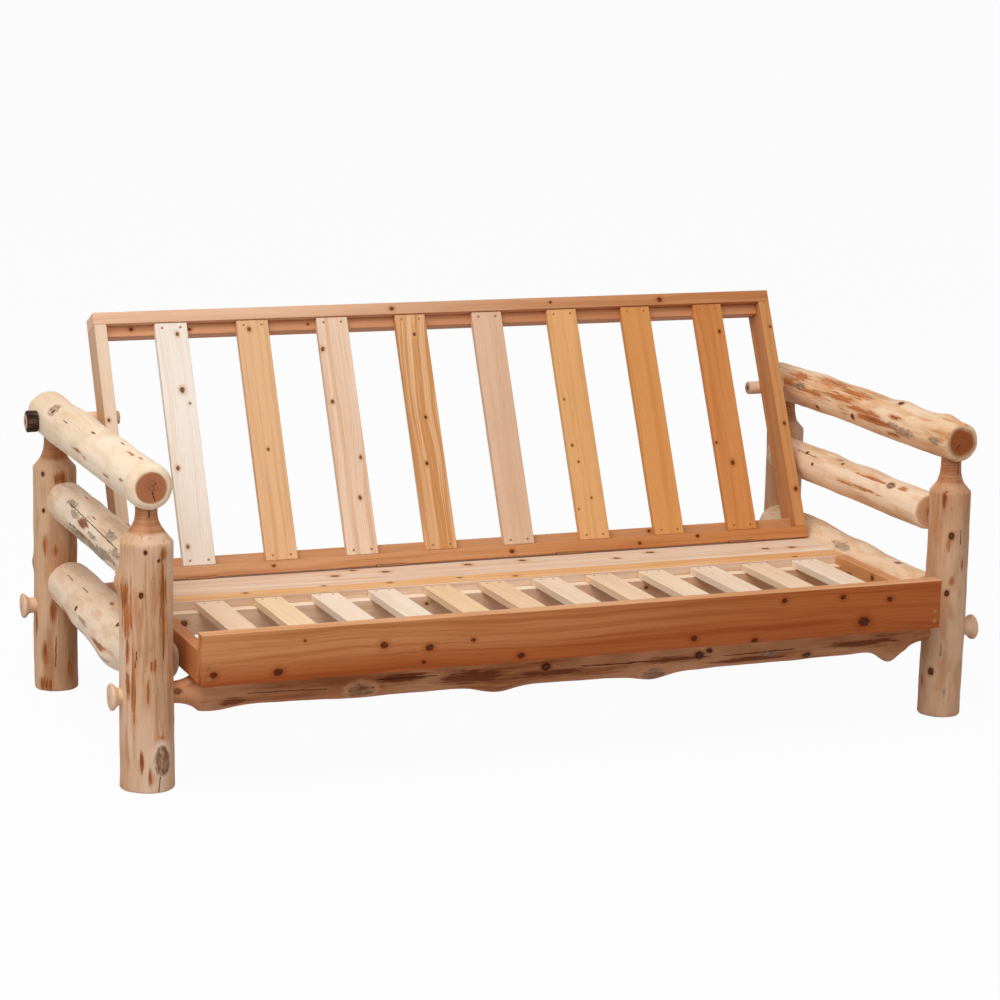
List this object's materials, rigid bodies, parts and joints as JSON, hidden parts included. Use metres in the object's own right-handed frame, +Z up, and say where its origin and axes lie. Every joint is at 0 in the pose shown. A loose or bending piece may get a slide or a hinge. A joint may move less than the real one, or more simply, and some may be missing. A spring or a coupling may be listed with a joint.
{
  "type": "log futon frame",
  "caption": "Rustic log futon frame: peeled-log arms and stretchers, slatted seat, and a hinged slatted back that leans on pull-out pegs.",
  "frame": {"origin": "on the floor, in the middle of the frame's width and depth", "axes": "+X to the right as seen from the front, +Y to the rear, +Z up"},
  "size_m": [2.267, 1.115, 0.9793],
  "materials": {
    "peeled_log": "peeled cedar log, clear satin coat",
    "turned_knob": "turned cedar, clear satin coat",
    "seat_board": "planed cedar board, clear satin coat",
    "back_board": "planed cedar board, clear satin coat",
    "cedar_slat": "planed cedar slat, clear satin coat",
    "bark_peg": "peeled branch, bark left on the head",
    "fastener_steel": "plain wire nails and screws",
    "hinge_steel": "plain butt hinge"
  },
  "bodies": {
    "base": {"deck_board": "seat_board", "front_left_post": "peeled_log", "front_right_post": "peeled_log", "front_stretcher_log": "peeled_log", "hinge_deck_leaves": "hinge_steel", "hinge_deck_screws": "hinge_steel", "hinge_pins": "hinge_steel", "left_arm_log": "peeled_log", "left_lower_log": "peeled_log", "left_middle_log": "peeled_log", "rear_left_post": "peeled_log", "rear_right_post": "peeled_log", "rear_stretcher_log": "peeled_log", "right_arm_log": "peeled_log", "right_lower_log": "peeled_log", "right_middle_log": "peeled_log", "seat_frame_screws": "fastener_steel", "seat_front_board": "seat_board", "seat_front_ledger": "seat_board", "seat_lag_screws": "fastener_steel", "seat_left_rail": "seat_board", "seat_rear_ledger": "seat_board", "seat_rear_rail": "seat_board", "seat_right_rail": "seat_board", "seat_slat_01": "cedar_slat", "seat_slat_02": "cedar_slat", "seat_slat_03": "cedar_slat", "seat_slat_04": "cedar_slat", "seat_slat_05": "cedar_slat", "seat_slat_06": "cedar_slat", "seat_slat_07": "cedar_slat", "seat_slat_08": "cedar_slat", "seat_slat_09": "cedar_slat", "seat_slat_10": "cedar_slat", "seat_slat_11": "cedar_slat", "seat_slat_12": "cedar_slat", "seat_slat_nails": "fastener_steel", "stretcher_bolts": "fastener_steel", "stretcher_knobs": "turned_knob"},
    "back": {"back_bottom_ledger": "back_board", "back_bottom_rail": "back_board", "back_corner_screws": "fastener_steel", "back_left_stile": "back_board", "back_right_stile": "back_board", "back_slat_1": "cedar_slat", "back_slat_2": "cedar_slat", "back_slat_3": "cedar_slat", "back_slat_4": "cedar_slat", "back_slat_5": "cedar_slat", "back_slat_6": "cedar_slat", "back_slat_7": "cedar_slat", "back_slat_8": "cedar_slat", "back_slat_nails": "fastener_steel", "back_top_ledger": "back_board", "back_top_rail": "back_board", "hinge_back_leaves": "hinge_steel", "hinge_back_screws": "hinge_steel"},
    "left_peg": {"left_lock_peg": "bark_peg"},
    "right_peg": {"right_lock_peg": "bark_peg"}
  },
  "joints": [
    {"name": "back_tilt", "type": "hinge", "parent": "base", "child": "back", "pos_m": [0, 0.15751, 0.344], "axis": [1, 0, 0], "range_deg": [0, 110]},
    {"name": "left_peg_pull", "type": "slide", "parent": "base", "child": "left_peg", "axis": [-1, 0, 0], "range_m": [0, 0.1]},
    {"name": "right_peg_pull", "type": "slide", "parent": "base", "child": "right_peg", "axis": [1, 0, 0], "range_m": [0, 0.1]}
  ]
}
